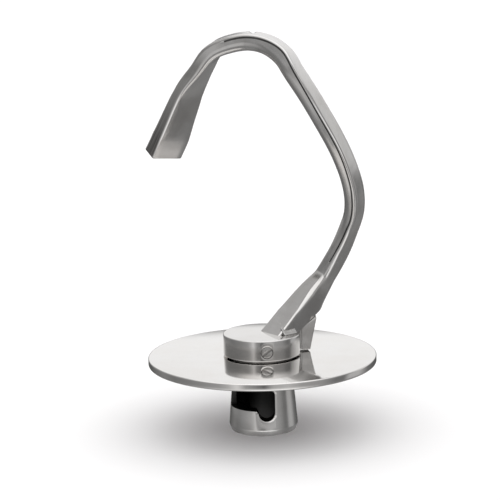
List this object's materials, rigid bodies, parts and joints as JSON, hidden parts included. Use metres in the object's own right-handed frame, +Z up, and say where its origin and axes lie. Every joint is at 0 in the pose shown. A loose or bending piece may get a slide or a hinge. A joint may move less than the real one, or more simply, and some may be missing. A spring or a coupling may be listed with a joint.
{
  "type": "dough hook",
  "caption": "Spiral dough hook of a planetary stand mixer: a bent arm on a round hub, a flat guard disc and a tapered drive socket with a J-shaped bayonet slot.",
  "frame": {"origin": "on the hub axis, in the plane of the socket's open end, which the hook stands on", "axes": "+Z up along the hub axis from the socket to the hook's crown, -Y is the front, where the slot's locking notch and the set screw are, +X to the right of it, the side that the arm bulges to"},
  "size_m": [0.157, 0.157, 0.2732],
  "materials": {
    "turned_stainless": "turned stainless steel, satin",
    "polished_stainless": "polished stainless steel with fine hairlines",
    "screw_steel": "machined steel",
    "cast_stainless": "cast stainless steel, ground and polished by hand",
    "weld_bead": "dressed weld"
  },
  "bodies": {
    "hook": {"drive_socket": "turned_stainless", "guard_disc": "polished_stainless", "spacer_washer": "turned_stainless", "hub_collar": "polished_stainless", "hook_arm": "cast_stainless", "arm_weld_front": "weld_bead", "arm_weld_rear": "weld_bead", "gusset_rib": "cast_stainless"},
    "screw": {"set_screw": "screw_steel"}
  },
  "joints": [
    {"name": "set_screw_turn", "type": "hinge", "parent": "hook", "child": "screw", "pos_m": [0.00312, -0.02652, 0.0595], "axis": [0.1167, -0.9932, 0], "range_deg": [0, 1170]}
  ]
}
